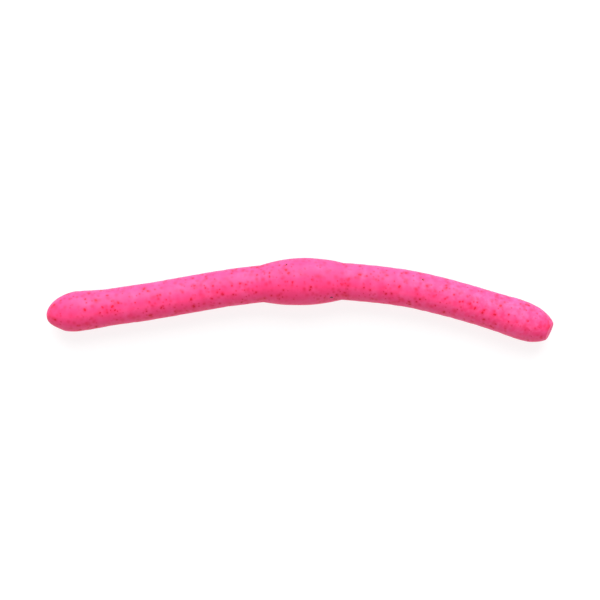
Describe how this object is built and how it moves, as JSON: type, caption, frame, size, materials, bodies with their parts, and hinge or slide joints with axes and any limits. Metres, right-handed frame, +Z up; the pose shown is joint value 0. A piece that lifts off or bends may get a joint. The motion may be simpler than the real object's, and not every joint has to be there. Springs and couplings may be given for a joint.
{
  "type": "soft plastic worm",
  "caption": "Soft plastic fishing worm: slim pink flaked body with a thicker smooth band, a rounded tail and a blunt cut head, flexible along its whole length.",
  "frame": {"origin": "under the middle of the bounding box, on the surface that the worm lies on", "axes": "+X from the rounded tail to the cut head, +Y to the side that the worm's resting bend bulges to, +Z up"},
  "size_m": [0.0753, 0.0125, 0.007],
  "materials": {
    "pink_vinyl": "satin",
    "red_flake": "satin",
    "dark_flake": "satin"
  },
  "bodies": {
    "band_section_2": {"band_section_2": "pink_vinyl", "band_section_2_red_flakes": "red_flake"},
    "band_section_3": {"band_section_3": "pink_vinyl", "band_section_3_red_flakes": "red_flake", "band_section_3_dark_flake": "dark_flake"},
    "head_section_1": {"head_section_1": "pink_vinyl", "head_section_1_red_flakes": "red_flake"},
    "head_section_2": {"head_section_2": "pink_vinyl", "head_section_2_red_flakes": "red_flake"},
    "head_section_3": {"head_section_3": "pink_vinyl", "head_section_3_red_flakes": "red_flake", "head_section_3_dark_flake": "dark_flake"},
    "head_section_4": {"head_section_4": "pink_vinyl", "head_section_4_red_flakes": "red_flake"},
    "head_section_5": {"head_section_5": "pink_vinyl", "head_section_5_red_flakes": "red_flake"},
    "head_section_6": {"head_section_6": "pink_vinyl", "head_section_6_red_flakes": "red_flake"},
    "head_section_7": {"head_section_7": "pink_vinyl", "head_section_7_red_flakes": "red_flake"},
    "head_section_8": {"head_section_8": "pink_vinyl", "head_section_8_red_flakes": "red_flake"},
    "band_section_1": {"band_section_1": "pink_vinyl", "band_section_1_red_flakes": "red_flake", "band_section_1_dark_flake": "dark_flake"},
    "tail_section_9": {"tail_section_9": "pink_vinyl", "tail_section_9_red_flakes": "red_flake"},
    "tail_section_8": {"tail_section_8": "pink_vinyl", "tail_section_8_red_flakes": "red_flake"},
    "tail_section_7": {"tail_section_7": "pink_vinyl", "tail_section_7_red_flakes": "red_flake"},
    "tail_section_6": {"tail_section_6": "pink_vinyl", "tail_section_6_red_flakes": "red_flake"},
    "tail_section_5": {"tail_section_5": "pink_vinyl", "tail_section_5_red_flakes": "red_flake"},
    "tail_section_4": {"tail_section_4": "pink_vinyl", "tail_section_4_red_flakes": "red_flake"},
    "tail_section_3": {"tail_section_3": "pink_vinyl", "tail_section_3_red_flakes": "red_flake"},
    "tail_section_2": {"tail_section_2": "pink_vinyl", "tail_section_2_red_flakes": "red_flake"},
    "tail_section_1": {"tail_section_1": "pink_vinyl", "tail_section_1_red_flakes": "red_flake"}
  },
  "joints": [
    {"name": "side_bend_1", "type": "hinge", "parent": "tail_section_2", "child": "tail_section_1", "pos_m": [-0.03399, -0.00183, 0.00297], "axis": [0, 0, 1], "range_deg": [-30, 30], "stiffness_Nm_per_rad": 0.000719},
    {"name": "rise_bend_2", "type": "hinge", "parent": "tail_section_3", "child": "tail_section_2", "pos_m": [-0.03043, -0.0014, 0.00297], "axis": [-0.1262, 0.992, 0], "range_deg": [-30, 30], "stiffness_Nm_per_rad": 0.000702},
    {"name": "side_bend_3", "type": "hinge", "parent": "tail_section_4", "child": "tail_section_3", "pos_m": [-0.02687, -0.00092, 0.00297], "axis": [0, 0, 1], "range_deg": [-30, 30], "stiffness_Nm_per_rad": 0.000607},
    {"name": "rise_bend_4", "type": "hinge", "parent": "tail_section_5", "child": "tail_section_4", "pos_m": [-0.02332, -0.0004, 0.00299], "axis": [-0.1529, 0.9882, 0], "range_deg": [-30, 30], "stiffness_Nm_per_rad": 0.000607},
    {"name": "side_bend_5", "type": "hinge", "parent": "tail_section_6", "child": "tail_section_5", "pos_m": [-0.01978, 0.00018, 0.00304], "axis": [0, 0, 1], "range_deg": [-30, 30], "stiffness_Nm_per_rad": 0.000607},
    {"name": "rise_bend_6", "type": "hinge", "parent": "tail_section_7", "child": "tail_section_6", "pos_m": [-0.01624, 0.0008, 0.00311], "axis": [-0.1795, 0.9838, 0], "range_deg": [-30, 30], "stiffness_Nm_per_rad": 0.000607},
    {"name": "side_bend_7", "type": "hinge", "parent": "tail_section_8", "child": "tail_section_7", "pos_m": [-0.01271, 0.00144, 0.00321], "axis": [0, 0, 1], "range_deg": [-30, 30], "stiffness_Nm_per_rad": 0.000607},
    {"name": "rise_bend_8", "type": "hinge", "parent": "tail_section_9", "child": "tail_section_8", "pos_m": [-0.00916, 0.00197, 0.00331], "axis": [-0.1287, 0.9917, 0], "range_deg": [-30, 30], "stiffness_Nm_per_rad": 0.000607},
    {"name": "side_bend_9", "type": "hinge", "parent": "band_section_1", "child": "tail_section_9", "pos_m": [-0.0056, 0.00236, 0.00341], "axis": [0, 0, 1], "range_deg": [-30, 30], "stiffness_Nm_per_rad": 0.000607},
    {"name": "rise_bend_10", "type": "hinge", "parent": "band_section_2", "child": "band_section_1", "pos_m": [-0.00161, 0.00264, 0.00349], "axis": [-0.0496, 0.9988, 0], "range_deg": [-30, 30], "stiffness_Nm_per_rad": 0.00145},
    {"name": "side_bend_11", "type": "hinge", "parent": "band_section_2", "child": "band_section_3", "pos_m": [0.00239, 0.00276, 0.00349], "axis": [0, 0, 1], "range_deg": [-30, 30], "stiffness_Nm_per_rad": 0.00145},
    {"name": "rise_bend_12", "type": "hinge", "parent": "band_section_3", "child": "head_section_1", "pos_m": [0.00639, 0.0027, 0.0034], "axis": [-0.0399, -0.9992, 0], "range_deg": [-30, 30], "stiffness_Nm_per_rad": 0.000607},
    {"name": "side_bend_13", "type": "hinge", "parent": "head_section_1", "child": "head_section_2", "pos_m": [0.01017, 0.00245, 0.00328], "axis": [0, 0, 1], "range_deg": [-30, 30], "stiffness_Nm_per_rad": 0.000607},
    {"name": "rise_bend_14", "type": "hinge", "parent": "head_section_2", "child": "head_section_3", "pos_m": [0.01393, 0.002, 0.00315], "axis": [-0.1458, -0.9893, 0], "range_deg": [-30, 30], "stiffness_Nm_per_rad": 0.000607},
    {"name": "side_bend_15", "type": "hinge", "parent": "head_section_3", "child": "head_section_4", "pos_m": [0.01766, 0.00135, 0.00304], "axis": [0, 0, 1], "range_deg": [-30, 30], "stiffness_Nm_per_rad": 0.000607},
    {"name": "rise_bend_16", "type": "hinge", "parent": "head_section_4", "child": "head_section_5", "pos_m": [0.02134, 0.0005, 0.00296], "axis": [-0.2501, -0.9682, 0], "range_deg": [-30, 30], "stiffness_Nm_per_rad": 0.000607},
    {"name": "side_bend_17", "type": "hinge", "parent": "head_section_5", "child": "head_section_6", "pos_m": [0.02499, -0.00052, 0.00291], "axis": [0, 0, 1], "range_deg": [-30, 30], "stiffness_Nm_per_rad": 0.000607},
    {"name": "rise_bend_18", "type": "hinge", "parent": "head_section_6", "child": "head_section_7", "pos_m": [0.02862, -0.0016, 0.00289], "axis": [-0.2983, -0.9545, 0], "range_deg": [-30, 30], "stiffness_Nm_per_rad": 0.000607},
    {"name": "side_bend_19", "type": "hinge", "parent": "head_section_7", "child": "head_section_8", "pos_m": [0.03222, -0.00278, 0.00289], "axis": [0, 0, 1], "range_deg": [-30, 30], "stiffness_Nm_per_rad": 0.000733}
  ]
}
